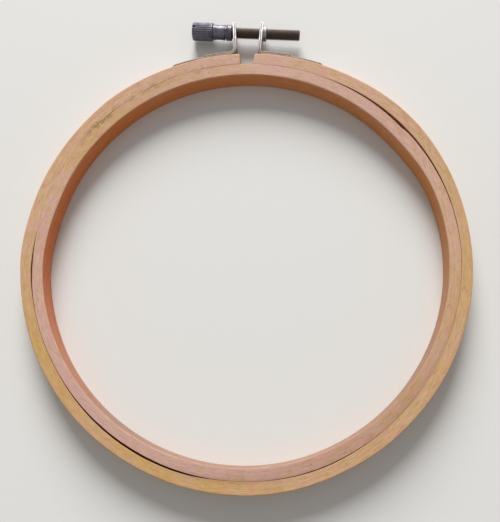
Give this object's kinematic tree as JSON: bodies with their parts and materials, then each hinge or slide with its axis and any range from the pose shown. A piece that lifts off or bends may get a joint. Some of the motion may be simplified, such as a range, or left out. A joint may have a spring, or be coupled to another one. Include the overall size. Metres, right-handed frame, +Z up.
{
  "type": "embroidery hoop",
  "caption": "Round wooden embroidery hoop: an inner ring in a split outer ring, drawn together by a knurled screw between two folded steel ears.",
  "frame": {"origin": "on the surface that the hoop lies on, under the middle of its length from the far side of the rings to the tips of the ears", "axes": "+Z up through the ring, +Y from the ring's centre to the split and its clamp, +X to the right seen from above, so the screw's head is at -X"},
  "size_m": [0.1459, 0.1608, 0.0078],
  "materials": {
    "beech_inner": "bare sanded beech, pinkish",
    "beech_outer": "bare sanded beech, yellowish",
    "plated_steel": "thin bright plating on sheet steel",
    "screw_steel": "worn plating, dull thread, brighter head",
    "tack_steel": "plated wire tack"
  },
  "bodies": {
    "outer_hoop": {"outer_ring": "beech_outer"},
    "inner_hoop": {"inner_ring": "beech_inner"},
    "left_clamp": {"bracket_left": "plated_steel", "tack_left_near": "tack_steel", "tack_left_far": "tack_steel"},
    "right_clamp": {"bracket_right": "plated_steel", "tack_right_near": "tack_steel", "tack_right_far": "tack_steel"},
    "screw": {"clamp_screw": "screw_steel"}
  },
  "joints": [
    {"name": "inner_ring_lift", "type": "slide", "parent": "outer_hoop", "child": "inner_hoop", "axis": [0, 0, 1], "range_m": [0, 0.03]},
    {"name": "left_clamp_slide", "type": "slide", "parent": "outer_hoop", "child": "left_clamp", "axis": [-0.9983, 0.0577, 0], "range_m": [-0.00026, 0.0056], "deforming": ["outer_ring"]},
    {"name": "right_clamp_slide", "type": "slide", "parent": "outer_hoop", "child": "right_clamp", "axis": [0.9983, -0.0577, 0], "range_m": [-0.00026, 0.0056], "deforming": ["outer_ring"]},
    {"name": "screw_turn", "type": "hinge", "parent": "left_clamp", "child": "screw", "pos_m": [0.00479, 0.07586, 0.0039], "axis": [-0.9983, 0.0577, 0], "range_deg": [-270, 5760]}
  ],
  "couplings": [
    {"joint": "screw_turn", "follows": "left_clamp_slide", "rad_per_m": 17952},
    {"joint": "right_clamp_slide", "follows": "left_clamp_slide", "ratio": 1}
  ]
}
